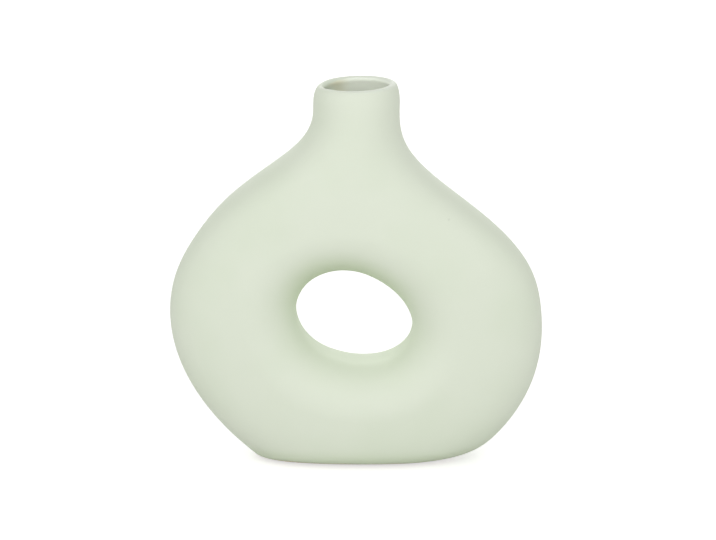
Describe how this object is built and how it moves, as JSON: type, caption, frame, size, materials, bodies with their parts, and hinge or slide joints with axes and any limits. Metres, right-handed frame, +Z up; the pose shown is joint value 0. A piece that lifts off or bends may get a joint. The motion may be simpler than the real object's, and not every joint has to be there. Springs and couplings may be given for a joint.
{
  "type": "donut vase",
  "caption": "Matte pale mint ceramic ring vase with an off-centre egg-shaped hole, lopsided shoulders and a short round neck, for dried or fresh stems.",
  "frame": {"origin": "on the table, under the middle of the width, on the plane between the front and back halves", "axes": "+Z up through the neck, +X to the right seen from the front, the front faces -Y"},
  "size_m": [0.2004, 0.0622, 0.2078],
  "materials": {
    "matte_ceramic": "matte pale mint glaze",
    "joining_slip": "matte pale mint glaze over fired slip",
    "pad_rubber": "soft pale grey"
  },
  "bodies": {
    "root": {"front_half": "matte_ceramic", "back_half": "matte_ceramic", "outer_seam": "joining_slip", "hole_seam": "joining_slip", "foot_pad_front_left": "pad_rubber", "foot_pad_front_right": "pad_rubber", "foot_pad_back_left": "pad_rubber", "foot_pad_back_right": "pad_rubber"}
  },
  "joints": []
}
